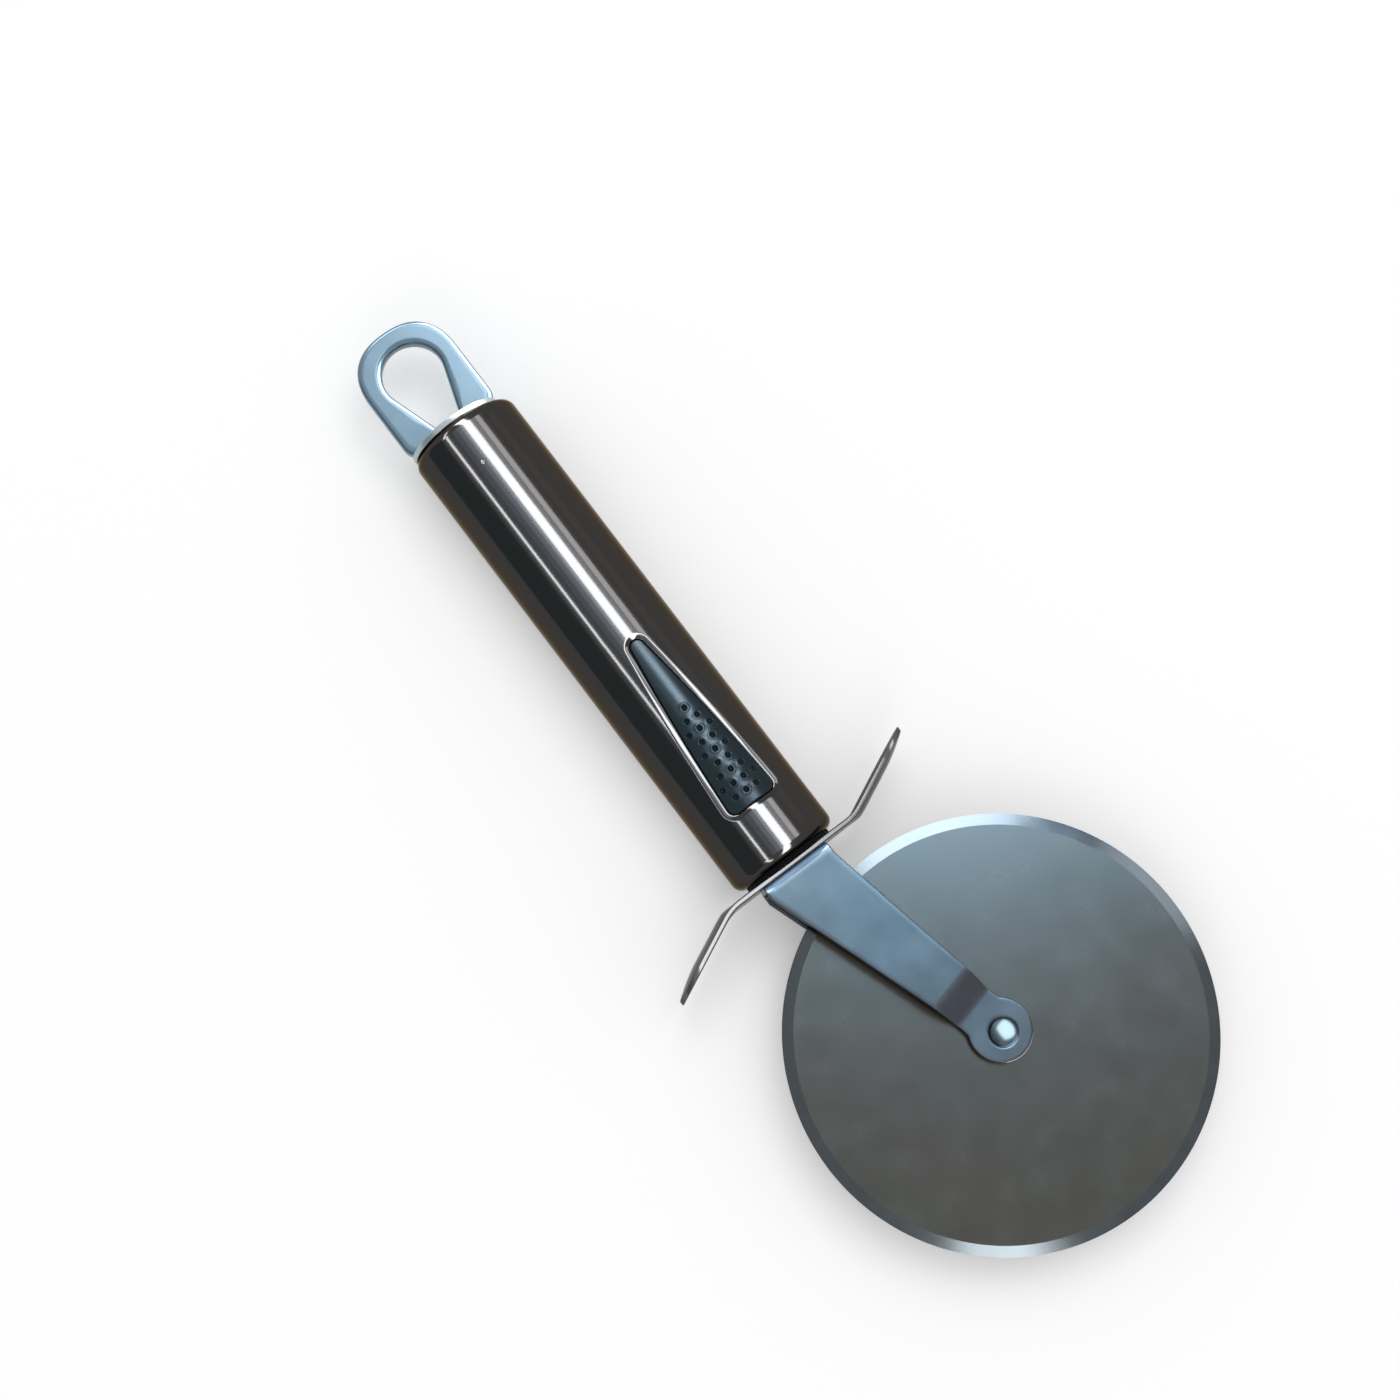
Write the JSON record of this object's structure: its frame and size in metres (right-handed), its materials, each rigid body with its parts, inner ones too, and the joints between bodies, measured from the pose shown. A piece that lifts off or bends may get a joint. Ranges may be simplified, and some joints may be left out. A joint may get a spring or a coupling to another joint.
{
  "type": "pizza cutter wheel",
  "caption": "Pizza cutter with a round steel handle, a soft grip insert, a finger guard, a forked bracket with a free-turning cutting wheel, and a hanging loop.",
  "frame": {"origin": "on the handle's axis, halfway along the tube", "axes": "+X along the handle towards the wheel, +Y across the handle in the wheel's plane, on the side that the fork leans to, +Z along the wheel's axle, up when the cutter lies flat with its insert on top"},
  "size_m": [0.2668, 0.1041, 0.0274],
  "materials": {
    "polished_tube": "polished stainless steel",
    "soft_grip": "soft matte moulded rubber",
    "plug_plastic": "moulded",
    "nut_brass": "turned",
    "guard_steel": "polished sheet steel",
    "fork_steel": "satin sheet steel",
    "fixing_steel": "plated steel",
    "blade_steel": "satin, ground at the bevel",
    "rivet_steel": "bright",
    "loop_alloy": "satin cast"
  },
  "bodies": {
    "handle": {"handle_shell": "polished_tube", "grip_insert": "soft_grip", "front_plug": "plug_plastic", "captive_nut": "nut_brass", "front_seal": "soft_grip", "guard": "guard_steel", "fork": "fork_steel", "lock_washer": "fixing_steel", "fork_screw": "fixing_steel", "axle_bushing": "nut_brass", "spacer_front": "fixing_steel", "spacer_back": "fixing_steel", "axle_rivet": "rivet_steel", "tail_plug": "plug_plastic", "hang_loop": "loop_alloy"},
    "wheel": {"blade": "blade_steel"}
  },
  "joints": [
    {"name": "blade_spin", "type": "hinge", "parent": "handle", "child": "wheel", "pos_m": [0.12366, 0.01504, 0], "axis": [0, 0, 1], "continuous": true}
  ]
}
